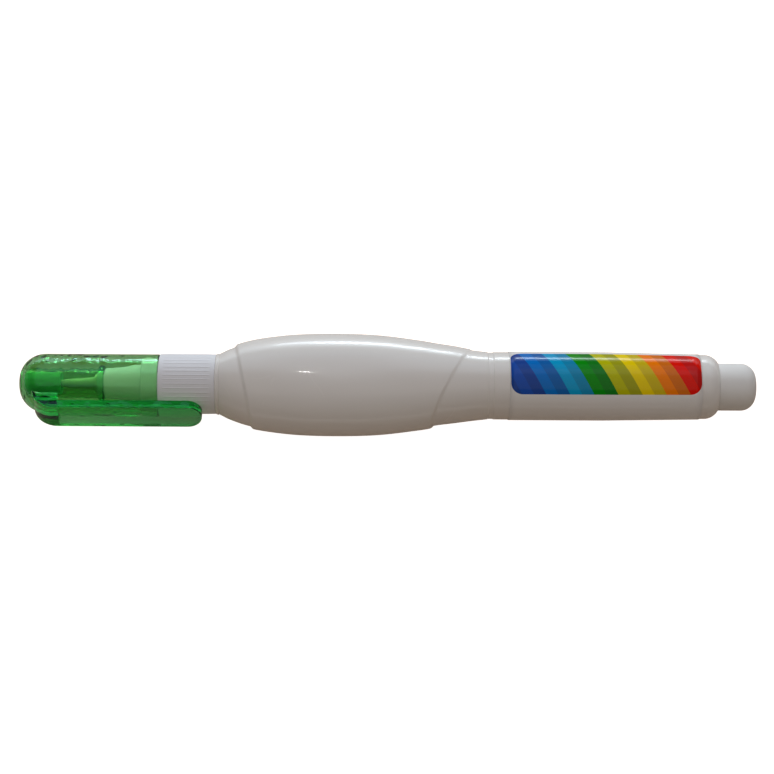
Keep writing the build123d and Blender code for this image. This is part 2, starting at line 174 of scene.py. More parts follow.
@named
class BottleSettings(bpy.types.PropertyGroup):
    """Sizes of the squeeze bottle."""

    rim_radius: length(0.00585, "Round rim in front of the belly")
    rim_length: length(0.0008, "Rim, along the pen")
    crease_width: length(0.0003, "Fine groove where the rim meets the belly")
    crease_depth: length(0.00018, "Depth of that groove")
    rim_rise: length(0.00016, "Flare of the rim towards the belly")
    belly_length: length(0.050445, "Belly, along the pen")
    barrel_radius: length(0.0064, "Round barrel behind the belly")
    taper_length: length(0.0194, "Rear part that narrows")
    barrel_tail_radius: length(0.00608, "Barrel at its shoulder")
    barrel_bore: length(0.00528, "Inside of the barrel")
    wall: length(0.0010, "Wall of the bottle")
    pad_step: length(0.00045, "How far the squeeze area stands out")
    crown_fade: number(0.5, "Share of the pad step that the crown loses")
    thumb_flat: length(0.0003, "What the flats above and below take off")
    flat_softness: length(0.0008, "Rounding of the edge of those flats")
    pad_front: length(0.0043, "Squeeze area's front edge, from the belly's start")
    pad_rear: length(0.044094, "Its rear edge, from the belly's start")
    front_lean: turn(radians(12.4), "Slant of its front edge")
    rear_lean: turn(radians(28.2), "Slant of its rear edge")
    edge_softness: length(0.0006, "Width of its rounded edges")
    groove_setback: length(0.00015, "From the barrel's start to its groove")
    groove_width: length(0.00115, "Shallow groove round the barrel")
    groove_depth: length(0.0001, "Depth of that groove")
    shoulder_length: length(0.00245, "Rounded shoulder at the tail")
    shoulder_rows: count(14, "Rows of faces along the shoulder")
    tail_face_radius: length(0.00475, "Flat face that the tail plug sits on")
    tail_wall: length(0.0020, "Wall that holds the tail plug")
    tail_bore: length(0.0040, "Hole that the plug's skirt fills")
    neck_radius: length(0.0046, "Neck inside the collar")
    neck_bore: length(0.0035, "Way out for the fluid")
    corner: length(0.00016, "Rounding of the moulded corners")
    seam_height: length(0.00003, "Mould's ridge along both sides")
    segments: count(144, "Faces round the bottle")
    belly_rows: count(230, "Rows of faces along the belly")


@named
class LabelSettings(bpy.types.PropertyGroup):
    """Sizes of the printed film."""

    thickness_share: number(0.75, "Film, as a share of the room for it")
    lap_angle: turn(radians(16), "How far the film's ends lap, underneath")
    lap_step: length(0.00005, "Height of that lap")
    band_low: turn(radians(-36), "Lower edge of the stripes, from straight up")
    band_high: turn(radians(48), "Upper edge of the stripes, from straight up")
    band_setback: length(0.0002, "Bare film at both ends of the band")
    band_corner: length(0.0022, "Rounding of the band's corners")
    slant: number(0.55, "How far the stripes lean, for each length round")
    deep_share: number(0.28, "Deep ink in half of each stripe, as a share")
    ink_edge: length(0.00004, "Softness of the print's edge")
    rows: count(24, "Rows of faces along the film")
    segments: count(180, "Faces round the film")


@named
class NozzleSettings(bpy.types.PropertyGroup):
    """Sizes of the collar and nose."""

    collar_length: length(0.010625, "Ribbed collar, along the pen")
    collar_radius: length(0.00565, "Collar between its ribs")
    spigot_length: length(0.0033, "Smooth seat for the cap")
    spigot_radius: length(0.0048, "Radius of that seat")
    nose_rear_radius: length(0.0037, "Nose at the spigot")
    nose_front_radius: length(0.00275, "Nose at its front")
    boss_length: length(0.0014, "Boss that holds the tip")
    boss_radius: length(0.0022, "Radius of that boss")
    tip_bore: length(0.00152, "Hole that the tip fills")
    chamber_radius: length(0.0022, "Bore for the valve")
    rib_count: count(42, "Ribs round the collar")
    rib_radius: length(0.0003, "Roundness of a rib")
    rib_sink: length(0.000258, "How deep a rib's middle lies")
    rib_margin: length(0.00015, "Smooth collar in front of a rib")
    rib_rear_margin: length(0.0001, "Smooth collar behind a rib")
    rib_end: length(0.0002, "Length of a rib's tapered ends")
    rib_rows: count(18, "Points along a rib")
    rib_sides: count(12, "Faces round a rib")
    corner: length(0.00015, "Rounding of the moulded corners")
    segments: count(168, "Faces round the nozzle")


@named
class PlugSettings(bpy.types.PropertyGroup):
    """Sizes of the tail plug."""

    stub_radius: length(0.00447, "Stub behind the bottle")
    end_round: length(0.0027, "Rounding of the stub's end")
    end_rows: count(12, "Rows of faces along that rounding")
    skirt_wall: length(0.0009, "Wall of the skirt in the bottle")
    end_wall: length(0.0016, "Wall at the stub's end")
    gate_radius: length(0.0007, "Mould's dimple in the end")
    gate_floor_radius: length(0.00049, "Flat floor of that dimple")
    gate_depth: length(0.00015, "Depth of that dimple")
    corner: length(0.00014, "Rounding of the moulded corners")
    segments: count(120, "Faces round the plug")


@named
class FinishSettings(bpy.types.PropertyGroup):
    """Colours of the finishes, and the waves in the green plastic."""

    bottle: colour((0.80, 0.78, 0.755), "White polyethylene")
    bottle_shade: colour((0.74, 0.715, 0.685), "Cloudier places in the white")
    nozzle: colour((0.78, 0.785, 0.82), "White polypropylene of the nozzle")
    plug: colour((0.79, 0.785, 0.77), "White polypropylene of the tail plug")
    film: colour((0.82, 0.81, 0.80), "Bare label film")
    green: colour((0.67, 0.77, 0.46), "Tint at the green plastic's surface")
    green_depth: colour((0.30, 0.985, 0.741), "What the green plastic lets through")
    green_density: number(850.0, "Its absorption, for each metre")
    green_gloss: colour((0.38, 0.95, 0.74), "Tint of its reflections, seen square on")
    wave_scale: number(420.0, "Fineness of the cap's waves")
    wave_depth: length(0.0001, "Depth of the cap's waves and ripples")
    ripple_scale: number(700.0, "Fineness of the cap's ripples")
    ripple_squeeze: number(1.6, "How much finer they are along the pen")
    ripple_fade: length(0.004, "Over which they fade, from the nose's front")
    ripple_front: number(1.6, "Ripples in front of the nose, against the waves")
    ripple_rear: number(0.2, "Ripples over the nose, against the waves")
    ripple_near: number(0.1, "Share of them that is left on the clip's side")
    tip: colour((0.72, 0.70, 0.66), "Nickel silver")
    steel: colour((0.62, 0.62, 0.63), "Stainless steel")
    acetal: colour((0.78, 0.77, 0.72), "Natural acetal")
    seal: colour((0.55, 0.55, 0.53), "Soft elastomer of the gasket")
    cap_seal: colour((0.06, 0.62, 0.20), "Soft elastomer in the cap, dyed like it")


@named
class StageSettings(bpy.types.PropertyGroup):
    """Camera, floor and room."""

    elevation: turn(radians(68), "Camera's height above the horizon")
    distance: length(0.370, "From the camera to the pen")
    view_width: length(0.14706, "Width of the picture at the pen")
    shift_right: length(0.0001, "Pen, right of the picture's middle")
    shift_up: length(0.00035, "Pen's axis, above the picture's middle")
    roll: turn(radians(0.334), "How far the tail hangs in the picture")
    floor_size: length(6.0, "Side of the floor")
    floor_colour: colour((0.70, 0.56, 0.44), "Pale floor, under its glow")
    floor_glow: number(0.95, "Level that lifts the floor to white")
    # The pen's shade on the floor is painted: the glow that gloss and glass see is dimmed round the pen
    shade_start: length(0.03, "From the axis to where the pen's shade fades")
    shade_end: length(0.14, "From the axis to where it ends")
    shade_level: number(0.05, "What gloss and glass show of the glow there")
    world_colour: colour((1.0, 0.90, 0.82), "Room around the lamps")
    world_level: number(0.105, "Strength of the room's light")
    room_glow: number(0.18, "What is added to that through glass")


class PenSettings(bpy.types.PropertyGroup):
    """All settings of the pen."""

    bottle: bpy.props.PointerProperty(type=BottleSettings)
    label: bpy.props.PointerProperty(type=LabelSettings)
    nozzle: bpy.props.PointerProperty(type=NozzleSettings)
    plug: bpy.props.PointerProperty(type=PlugSettings)
    finish: bpy.props.PointerProperty(type=FinishSettings)
    stage: bpy.props.PointerProperty(type=StageSettings)


# Nodes


def plug_in(socket, value):
    """Links a socket to another, or sets its value."""
    if isinstance(value, bpy.types.NodeSocket):
        socket.id_data.links.new(value, socket)
    else:
        socket.default_value = value


def add_node(tree, kind, inputs=None, **settings):
    """A new node with its settings and its inputs, by name."""
    node = tree.nodes.new(kind)
    for name, value in settings.items():
        setattr(node, name, value)
    for name, value in (inputs or {}).items():
        plug_in(node.inputs[name], value)
    return node


def tree_of(values):
    """The node tree of the first socket among some values."""
    return next(value.id_data for value in values if isinstance(value, bpy.types.NodeSocket))


def maths(operation, *values):
    """The result of a Math node."""
    node = add_node(tree_of(values), "ShaderNodeMath", operation=operation)
    for socket, value in zip(node.inputs, values):
        plug_in(socket, value)
    return node.outputs[0]


times = partial(maths, "MULTIPLY")
plus = partial(maths, "ADD")
minus = partial(maths, "SUBTRACT")
times_plus = partial(maths, "MULTIPLY_ADD")


def hypotenuse(first, second):
    """Long side of a right triangle."""
    return maths("SQRT", times_plus(first, first, times(second, second)))


def ranged(value, low, high, to_low=0.0, to_high=1.0, interpolation="LINEAR"):
    """A value carried from one range to another, and held at its ends."""
    inputs = {"Value": value, "From Min": low, "From Max": high, "To Min": to_low, "To Max": to_high}
    node = add_node(value.id_data, "ShaderNodeMapRange", inputs, interpolation_type=interpolation)
    return node.outputs["Result"]


def mixed(factor, first, second):
    """Two colours mixed."""
    node = add_node(factor.id_data, "ShaderNodeMix", {"Factor": factor}, data_type="RGBA")
    colours = (socket for socket in node.inputs if socket.type == "RGBA")
    for socket, value in zip(colours, (first, second)):
        plug_in(socket, value)
    return next(socket for socket in node.outputs if socket.type == "RGBA")


def noise(vector, scale, detail=2.0, roughness=0.5):
    inputs = {"Vector": vector, "Scale": scale, "Detail": detail, "Roughness": roughness}
    return add_node(vector.id_data, "ShaderNodeTexNoise", inputs).outputs["Fac"]


def split(vector):
    """The X, Y and Z of a vector."""
    return add_node(vector.id_data, "ShaderNodeSeparateXYZ", {"Vector": vector}).outputs


def joined(**parts):
    """A vector from its X, Y and Z."""
    return add_node(tree_of(parts.values()), "ShaderNodeCombineXYZ", parts).outputs["Vector"]


def new_tree(name, kind, inputs, outputs):
    """A node tree and what its inputs bring in. Sockets are named by their kind, some with a default."""
    tree = bpy.data.node_groups.new(name, kind + "NodeTree")
    for direction, kinds in (("INPUT", inputs), ("OUTPUT", outputs)):
        for data_kind, names in kinds.items():
            socket_type = "NodeSocket" + data_kind
            for label in names:
                socket = tree.interface.new_socket(label, in_out=direction, socket_type=socket_type)
                if isinstance(names, dict):
                    socket.default_value = names[label]
    return tree, add_node(tree, "NodeGroupInput").outputs


def opaque(value):
    """A colour with its alpha."""
    return (*value, 1.0)


def faded(value, share):
    """A colour with a share of its light."""
    return [part * share for part in value]


def object_place(tree, centre=(0.0, 0.0, 0.0), scale=(1.0, 1.0, 1.0)):
    """Object coordinates about a centre, stretched."""
    place = add_node(tree, "ShaderNodeTexCoord").outputs["Object"]
    inputs = {"Vector": place, "Location": tuple(-c * s for c, s in zip(centre, scale)), "Scale": scale}
    return add_node(tree, "ShaderNodeMapping", inputs).outputs["Vector"]


def moulded_marks_group(name):
    """Cloudy tone, fine grain and hairline scuffs of handled plastic."""
    scales = {"Cloud Scale": 70.0, "Grain Scale": 3000.0, "Scuff Scale": 120.0}
    inputs = {"Float": {**scales, "Scuff Width": 0.012, "Grain Share": 0.4}}
    outputs = {"Float": ("Cloud", "Grain", "Scuff", "Height")}
    group, size = new_tree(name, "Shader", inputs, outputs)
    place = object_place(group)
    drawn = object_place(group, scale=(0.3, 1.0, 1.0))
    cloud = ranged(noise(drawn, size["Cloud Scale"], 3.0), NOISE_LOW, NOISE_HIGH)
    grain = noise(place, size["Grain Scale"], 3.0, 0.6)
    line = maths("ABSOLUTE", minus(noise(place, size["Scuff Scale"], 1.0), 0.5))
    hairline = ranged(line, 0.0, size["Scuff Width"], 1.0, 0.0)
    patch = ranged(noise(place, times(size["Scuff Scale"], 0.6)), 0.56, 0.70)
    scuff = times(hairline, patch)
    height = minus(times(grain, size["Grain Share"]), scuff)
    add_node(group, "NodeGroupOutput", {"Cloud": cloud, "Grain": grain, "Scuff": scuff, "Height": height})
    return group


def turned_lines_group(name):
    """Fine rings that a lathe or a drawing die leaves round the pen's axis."""
    inputs = {"Float": {"Pitch Scale": 9000.0, "Round Scale": 120.0, "Tarnish Scale": 900.0}}
    group, size = new_tree(name, "Shader", inputs, {"Float": ("Lines", "Tarnish")})
    place = add_node(group, "ShaderNodeTexCoord").outputs["Object"]
    parts = split(place)
    closeness = {"X": "Pitch Scale", "Y": "Round Scale", "Z": "Round Scale"}
    stretched = {axis: times(parts[axis], size[scale]) for axis, scale in closeness.items()}
    lines = noise(joined(**stretched), 1.0)
    tarnish = noise(place, size["Tarnish Scale"], 3.0)
    add_node(group, "NodeGroupOutput", {"Lines": lines, "Tarnish": tarnish})
    return group


SHARED_GROUPS = {"Moulded marks": moulded_marks_group, "Turned lines": turned_lines_group}


def placed_group(tree, name, inputs):
    """A shared group in a material, with its own values. It is built where it is first used."""
    group = bpy.data.node_groups.get(name) or SHARED_GROUPS[name](name)
    return add_node(tree, "ShaderNodeGroup", inputs, node_tree=group).outputs


# Finishes


def new_material(name):
    """A material with an empty node tree."""
    material = bpy.data.materials.new(name)
    material.use_nodes = True
    material.node_tree.nodes.clear()
    return material, material.node_tree


def finished(material, inputs, **ends):
    """Ends a material with a Principled shader, and with what else its output takes."""
    tree = material.node_tree
    shader = add_node(tree, "ShaderNodeBsdfPrincipled", inputs)
    add_node(tree, "ShaderNodeOutputMaterial", {"Surface": shader.outputs["BSDF"], **ends})
    return material


def bumped(height, distance):
    inputs = {"Height": height, "Strength": 1.0, "Distance": distance}
    return add_node(height.id_data, "ShaderNodeBump", inputs).outputs["Normal"]


def clouded(marks, tint, shade):
    """A tint that is cloudy with a shade."""
    return mixed(marks["Cloud"], opaque(tint), opaque(shade))


def plastic(kind, name, tint, shade=None, inked=None):
    """Cloudy plastic or rubber of one kind. A shade of its own or a print over its tint can be given."""
    scales, shade_share, roughness, spread, grain_depth, plain = PLASTICS[kind]
    material, tree = new_material(name)
    worn = placed_group(tree, "Moulded marks", scales)
    for mark, amount in spread.items():
        roughness = times_plus(worn[mark], amount, roughness)
    bare = clouded(worn, tint, shade or faded(tint, shade_share))
    inputs = {
        "Base Color": inked(bare) if inked else bare,
        "Roughness": roughness,
        "Normal": bumped(worn["Height"], grain_depth),
        **plain,
    }
    return finished(material, inputs)


def stripe_colours(along, deep_share):
    """Slanted stripes of ink, each with a light and a deep half."""
    ramp = add_node(along.id_data, "ShaderNodeValToRGB", {"Fac": maths("DIVIDE", along, label_length)})
    ramp.color_ramp.interpolation = "CONSTANT"
    stops = ramp.color_ramp.elements
    while len(stops) < len(STRIPE_INKS):
        stops.new(1.0)
    for place, (stop, ink) in enumerate(zip(stops, STRIPE_INKS)):
        stop.position = place / len(STRIPE_INKS)
        stop.color = opaque(ink)
    across = maths("FRACT", maths("DIVIDE", along, label_length / len(STRIPE_INKS)))
    deep = ranged(across, 0.49, 0.51, 0.0, deep_share)
    return mixed(deep, ramp.outputs["Color"], opaque(DEEP_INK))


def label_print(bare, size):
    """Bare film with a band of slanted stripes."""
    radius = label_high.y
    parts = split(object_place(bare.id_data, (label_low.x, 0.0, axis_height)))
    round_it = times(maths("ARCTAN2", parts["Y"], parts["Z"]), radius)
    along = times_plus(round_it, size.slant, parts["X"])

    # Distance to the edge of the band, a rectangle with rounded corners
    corner = size.band_corner

    def past_straight(value, middle, half):
        off = maths("ABSOLUTE", minus(value, middle))
        return maths("MAXIMUM", minus(off, half - corner), 0.0)

    half_round = (size.band_high - size.band_low) / 2 * radius
    middle_round = (size.band_high + size.band_low) / 2 * radius
    past_long = past_straight(parts["X"], label_length / 2, label_length / 2 - size.band_setback)
    past_round = past_straight(round_it, middle_round, half_round)
    reach = hypotenuse(past_long, past_round)
    printed = ranged(reach, corner - size.ink_edge, corner + size.ink_edge, 1.0, 0.0)
    return mixed(printed, bare, stripe_colours(along, size.deep_share))


def green_plastic(finish):
    """Clear green plastic: the colour deepens with the thickness, and light passes through it."""
    material, tree = new_material("green_clear")
    worn = placed_group(tree, "Moulded marks", {"Cloud Scale": 160.0, "Scuff Scale": 220.0})

    # Gentle waves all over, and broken ripples in front of the nose, on the side away from the clip
    place = object_place(tree)
    squeezed = object_place(tree, scale=(finish.ripple_squeeze, 1.0, 1.0))
    parts = split(place)
    waves = noise(place, finish.wave_scale, 1.0)
    ripples = noise(squeezed, finish.ripple_scale, 0.0)
    fade_end = nozzle_low.x + finish.ripple_fade
    ahead = ranged(parts["X"], nozzle_low.x, fade_end, finish.ripple_front, finish.ripple_rear)
    far_side = ranged(parts["Y"], 0.0, finish.ripple_fade / 2, finish.ripple_near, 1.0)
    wavy = times_plus(ripples, times(ahead, far_side), waves)
    inputs = {
        "Base Color": clouded(worn, finish.green, faded(finish.green, 0.97)),
        "Roughness": times_plus(worn["Scuff"], 0.12, 0.02),
        "Normal": bumped(wavy, finish.wave_depth),
        "Transmission Weight": 1.0,
        "IOR": 1.49,
        "Specular Tint": opaque(finish.green_gloss),
    }
    depth = {"Color": opaque(finish.green_depth), "Density": finish.green_density}
    filling = add_node(tree, "ShaderNodeVolumeAbsorption", depth).outputs["Volume"]
    return finished(material, inputs, Volume=filling)


def turned_metal(name, tint, roughness, pitch, ring_depth):
    """Metal with fine rings round the pen's axis."""
    material, tree = new_material(name)
    rings = placed_group(tree, "Turned lines", {"Pitch Scale": pitch})
    smoothest, roughest = roughness - 0.06, roughness + 0.08
    inputs = {
        "Base Color": mixed(rings["Tarnish"], opaque(tint), opaque(faded(tint, 0.82))),
        "Metallic": 1.0,
        "Roughness": ranged(rings["Lines"], NOISE_LOW, NOISE_HIGH, smoothest, roughest),
        "Normal": bumped(rings["Lines"], ring_depth),
    }
    return finished(material, inputs)


# Meshes


def soften(points, radius, steps=4):
    """A line of points with its corners rounded. Each rounding stops short of the middle of its sides."""
    points = [Vector(point) for point in points]
    side_share = 0.45
    rounded = [points[0]]
    for before, corner, after in zip(points, points[1:], points[2:]):
        back = before - corner
        ahead = after - corner
        trim = min(radius, side_share * back.length, side_share * ahead.length)
        start = corner + back.normalized() * trim
        end = corner + ahead.normalized() * trim
        for step in range(steps + 1):
            share = step / steps
            rounded.append(start * (1 - share) ** 2 + corner * 2 * share * (1 - share) + end * share**2)
    rounded.append(points[-1])
    return [tuple(point) for point in rounded]


def between_stations(values, share):
    """A smooth value along the belly, on a cubic through its stations."""
    stations = BELLY_STATION_SHARES

    def slope(place):
        first = max(place - 1, 0)
        last = min(place + 1, len(stations) - 1)
        return (values[last] - values[first]) / (stations[last] - stations[first])

    place = max(i for i in range(len(stations) - 1) if stations[i] <= share)
    span = stations[place + 1] - stations[place]
    t = (share - stations[place]) / span
    start = (2 * t**3 - 3 * t**2 + 1) * values[place] + (t**3 - 2 * t**2 + t) * span * slope(place)
    end = (3 * t**2 - 2 * t**3) * values[place + 1] + (t**3 - t**2) * span * slope(place + 1)
    return start + end


def new_piece(name, data):
    """An object of the scene, at the origin."""
    piece = bpy.data.objects.new(name, data)
    bpy.context.scene.collection.objects.link(piece)
    return piece


def mesh_piece(name, mesh, material):
    """A closed and smooth piece, with its faces outward."""
    bmesh.ops.remove_doubles(mesh, verts=mesh.verts, dist=MERGE_DISTANCE)
    for face in mesh.faces:
        face.smooth = True
    if mesh.calc_volume(signed=True) < 0:
        bmesh.ops.reverse_faces(mesh, faces=mesh.faces)
    data = bpy.data.meshes.new(name)
    mesh.to_mesh(data)
    mesh.free()
    data.materials.append(material)
    return new_piece(name, data)


def turned_mesh(name, profile, segments, material, swell=None):
    """A turned piece. Its profile runs along the outside and back inside, as a loop or from axis to axis."""
    mesh = bmesh.new()
    rings = []
    for step in range(segments):
        angle = 2 * pi * step / segments
        ring = []
        for x, radius in profile:
            radius += swell(angle, x, radius) if swell else 0.0
            point = (x, radius * sin(angle), axis_height + radius * cos(angle))
            ring.append(mesh.verts.new(point))
        rings.append(ring)
    looped = profile[0][1] > 0
    for ring, next_ring in zip(rings, rings[1:] + rings[:1]):
        for i in range(len(profile) if looped else len(profile) - 1):
            j = (i + 1) % len(profile)
            mesh.faces.new((ring[i], next_ring[i], next_ring[j], ring[j]))
    return mesh_piece(name, mesh, material)


def grow(piece, tree, size, inputs):
    """Runs a geometry tree on a piece and keeps the mesh. Inputs not given are the settings of their name."""
    modifier = piece.modifiers.new(tree.name, "NODES")
    modifier.node_group = tree
    for socket in tree.interface.items_tree:
        if socket.in_out == "INPUT" and socket.socket_type != "NodeSocketGeometry":
            setting_name = socket.name.lower().replace(" ", "_")
            modifier[socket.identifier] = inputs.get(socket.name, getattr(size, setting_name, None))
    depsgraph = bpy.context.evaluated_depsgraph_get()
    grown = piece.evaluated_get(depsgraph)
    result = bpy.data.meshes.new_from_object(grown, preserve_all_data_layers=True, depsgraph=depsgraph)
    result.name = piece.name
    source = piece.data
    piece.modifiers.clear()
    piece.data = result
    bpy.data.meshes.remove(source)


def geometry(tree, kind, inputs=None, output="Geometry", **settings):
    """The result of a geometry node."""
    return add_node(tree, "GeometryNode" + kind, inputs, **settings).outputs[output]


def end_geometry(tree, shape, material, output):
    """Ends a geometry tree with a real, smooth shape in its material."""
    real = geometry(tree, "RealizeInstances", {"Geometry": shape})
    smooth = geometry(tree, "SetShadeSmooth", {"Geometry": real})
    coated = geometry(tree, "SetMaterial", {"Geometry": smooth, "Material": material})
    add_node(tree, "NodeGroupOutput", {output: coated})


def dress(material, *node_names):
    """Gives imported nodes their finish."""
    for name in node_names:
        cad[name].data.materials.clear()
        cad[name].data.materials.append(material)


def seat(piece, body, node_name):
    """Puts a piece on its body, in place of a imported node."""
    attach(piece, body)
    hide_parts(node_name)


# Bottle


def bottle_rows(size):
    """The bottle's profile as rows: place along the pen, round radius, swell, growth, rise and skin."""
    rim, barrel, tail = size.rim_radius, size.barrel_radius, size.barrel_tail_radius
    neck_x, stub_x, rim_x = bottle_low.x, bottle_high.x, nozzle_high.x
    belly_x = rim_x + size.rim_length
    barrel_x = belly_x + size.belly_length
    shoulder_x = stub_x - size.shoulder_length
    bore_end_x = stub_x - size.tail_wall
    groove_x = barrel_x + size.groove_setback
    groove_end_x = groove_x + size.groove_width
    groove_radius = barrel - size.groove_depth

    drop = tail - size.tail_face_radius
    shoulder_radius = (size.shoulder_length**2 + drop**2) / (2 * drop)
    shoulder_turn = asin(size.shoulder_length / shoulder_radius)
    shoulder = []
    for step in range(1, size.shoulder_rows + 1):
        angle = shoulder_turn * step / size.shoulder_rows
        down = shoulder_radius * (1 - cos(angle))
        shoulder.append((shoulder_x + shoulder_radius * sin(angle), tail - down))

    def belly(share, growth, rise):
        end_radius = rim + (barrel - rim) * share
        swell = between_stations(BELLY_SWELL_SHARES, share)
        skin = 1.0 if growth == 0 else 0.0
        return (belly_x + share * size.belly_length, end_radius, swell, growth, rise, skin)

    def plain(points):
        return [(x, radius, 0, 0, 0, 0) for x, radius in points]

    front = [
        (neck_x, size.neck_bore + size.corner),
        (neck_x, size.neck_radius),
        (rim_x, size.neck_radius),
        (rim_x, rim - size.rim_rise),
        (belly_x - size.crease_width, rim),
        (belly_x - size.crease_width / 2, rim - size.crease_depth),
        (belly_x, rim),
    ]
    rear = [
        (barrel_x, barrel),
        (groove_x, barrel),
        (groove_x + size.groove_depth, groove_radius),
        (groove_end_x - size.groove_depth, groove_radius),
        (groove_end_x, barrel),
        (shoulder_x - size.taper_length, barrel),
        (shoulder_x, tail),
        *shoulder,
        (stub_x, size.tail_bore),
        (bore_end_x, size.tail_bore),
        (bore_end_x, size.barrel_bore),
        (barrel_x, size.barrel_bore),
    ]
    cavity_share = BELLY_STATION_SHARES[1]
    cavity_x = belly_x + cavity_share * size.belly_length
    inner_rows = size.belly_rows // 4
    shares = [step / size.belly_rows for step in range(1, size.belly_rows)]
    inner_shares = [1 - (1 - cavity_share) * step / inner_rows for step in range(1, inner_rows + 1)]
    return [
        *plain(soften(front, size.corner)),
        *(belly(share, 0, between_stations(PAD_RISE_SHARES, share)) for share in shares),
        *plain(soften(rear, size.corner)),
        *(belly(share, -size.wall, 0) for share in inner_shares),
        *plain([(cavity_x, size.neck_bore), (neck_x + size.corner, size.neck_bore)]),
    ]


def bottle_tree(material):
    """Carries a profile round the pen, as an oval that swells, with a raised area between slanted edges."""
    sizes = ("Belly Width", "Belly Thickness", "Pad Step", "Pad Front", "Pad Rear", "Front Lean", "Rear Lean")
    sizes += ("Edge Softness", "Crown Fade", "Axis Height", "Seam Height", "Thumb Flat", "Flat Softness")
    inputs = {"Geometry": ("Profile",), "Int": ("Segments",), "Float": sizes}
    tree, size = new_tree("Squeeze bottle", "Geometry", inputs, {"Geometry": ("Bottle",)})
    profile = size["Profile"]

    # A grid with a row for each point of the profile and a column for each step round the pen
    points = geometry(tree, "AttributeDomainSize", {"Geometry": profile}, "Point Count")
    columns = plus(size["Segments"], 1.0)
    rows = plus(points, 1.0)
    grid = geometry(tree, "MeshGrid", {"Vertices X": rows, "Vertices Y": columns}, "Mesh")
    index = geometry(tree, "InputIndex", output="Index")
    filled = maths("DIVIDE", plus(index, 0.5), columns)
    row = maths("MODULO", maths("FLOOR", filled), points)
    step = maths("DIVIDE", 2 * pi, size["Segments"])
    angle = times(maths("MODULO", index, columns), step)

    def read(name):
        held = geometry(tree, "InputNamedAttribute", {"Name": name}, "Attribute", data_type="FLOAT")
        inputs = {"Geometry": profile, "Value": held, "Index": row}
        return geometry(tree, "SampleIndex", inputs, "Value", data_type="FLOAT")

    along, end_radius, swell, growth, rise, skin = (read(name) for name in BOTTLE_ROW)
    across = maths("SINE", angle)
    upright = maths("COSINE", angle)

    # The oval
    def half_size(full):
        fullest = minus(times(full, 0.5), size["Pad Step"])
        swollen = times(minus(fullest, end_radius), swell)
        return plus(plus(end_radius, swollen), growth)

    half_width = half_size(size["Belly Width"])
    half_flats = times(size["Belly Thickness"], 0.5)
    half_thickness = half_size(times_plus(size["Thumb Flat"], 2.0, size["Belly Thickness"]))
    side = times(half_width, across)

    # The squeeze area between its two edges, and the mould's seam
    def inside(edge, lean, sign):
        slanted = times_plus(maths("TANGENT", lean), times(side, sign), edge)
        ahead = times(minus(slanted, along), sign)
        half_edge = times(size["Edge Softness"], 0.5)
        return ranged(ahead, times(half_edge, -1.0), half_edge, interpolation="SMOOTHSTEP")

    front = inside(size["Pad Front"], size["Front Lean"], -1.0)
    pad = times(front, inside(size["Pad Rear"], size["Rear Lean"], 1.0))
    crown = times(maths("POWER", upright, 2.0), size["Crown Fade"])
    step_here = times(minus(1.0, crown), size["Pad Step"])
    raised = times(times(pad, rise), step_here)
    near_seam = ranged(maths("ABSOLUTE", upright), 0.0, maths("SINE", step), 1.0, 0.0)
    seam = times(times(near_seam, skin), size["Seam Height"])
    outer = plus(raised, seam)

    # The places, with the thumb flats above and below
    y = times(plus(half_width, outer), across)
    z = times(plus(half_thickness, outer), upright)
    flat_above = maths("SMOOTH_MIN", z, half_flats, size["Flat Softness"])
    z = maths("SMOOTH_MAX", flat_above, times(half_flats, -1.0), size["Flat Softness"])
    place = joined(X=along, Y=y, Z=plus(z, size["Axis Height"]))
    shaped = geometry(tree, "SetPosition", {"Geometry": grid, "Position": place})
    closed = geometry(tree, "MergeByDistance", {"Geometry": shaped, "Distance": MERGE_DISTANCE})
    end_geometry(tree, closed, material, "Bottle")
    return tree


class PEN_OT_bottle(bpy.types.Operator):
    """Make the squeeze bottle"""

    bl_idname = "pen.make_bottle"
    bl_label = "Bottle"

    def execute(self, context):
        settings = context.scene.pen
        size, finish = settings.bottle, settings.finish
        rows = bottle_rows(size)
        data = bpy.data.meshes.new("bottle_shell")
        data.from_pydata([(row[0], 0.0, row[1]) for row in rows], [], [])
        for name, values in zip(BOTTLE_ROW, zip(*rows)):
            data.attributes.new(name, "FLOAT", "POINT").data.foreach_set("value", values)
        piece = new_piece("bottle_shell", data)
        belly_x = nozzle_high.x + size.rim_length
        inputs = {
            "Belly Width": bottle_high.y - bottle_low.y,
            "Belly Thickness": bottle_high.z - bottle_low.z,
            "Pad Front": belly_x + size.pad_front,
            "Pad Rear": belly_x + size.pad_rear,
            "Axis Height": axis_height,
        }
        white = plastic("blown", "white_bottle", finish.bottle, finish.bottle_shade)
        grow(piece, bottle_tree(white), size, inputs)
        if not piece.data.polygons:
            raise RuntimeError("the bottle came out empty")
        seat(piece, "bottle", "bottle")
        return {"FINISHED"}


# Label


class PEN_OT_label(bpy.types.Operator):
    """Make the printed label"""

    bl_idname = "pen.make_label"
    bl_label = "Label"

    def execute(self, context):
        settings = context.scene.pen
        barrel, size = settings.bottle, settings.label
        thickness = size.thickness_share * (label_high.y - barrel.barrel_radius)
        taper_x = bottle_high.x - barrel.shoulder_length - barrel.taper_length
        fall = (barrel.barrel_radius - barrel.barrel_tail_radius) / barrel.taper_length
        places = [label_low.x + label_length * (step / size.rows) for step in range(size.rows + 1)]
        outside = [(x, label_high.y - fall * max(x - taper_x, 0.0)) for x in places]
        profile = outside + [(x, radius - thickness) for x, radius in reversed(outside)]
        outer_radius = dict(outside)

        def lap(angle, x, radius):
            lapped = pi - size.lap_angle < angle <= pi and radius >= outer_radius[x]
            return size.lap_step if lapped else 0.0

        film = plastic("film", "label_film", settings.finish.film, inked=lambda bare: label_print(bare, size))
        piece = turned_mesh("printed_label", profile, size.segments, film, lap)
        seat(piece, "bottle", "wrap_label")
        return {"FINISHED"}


# Nozzle


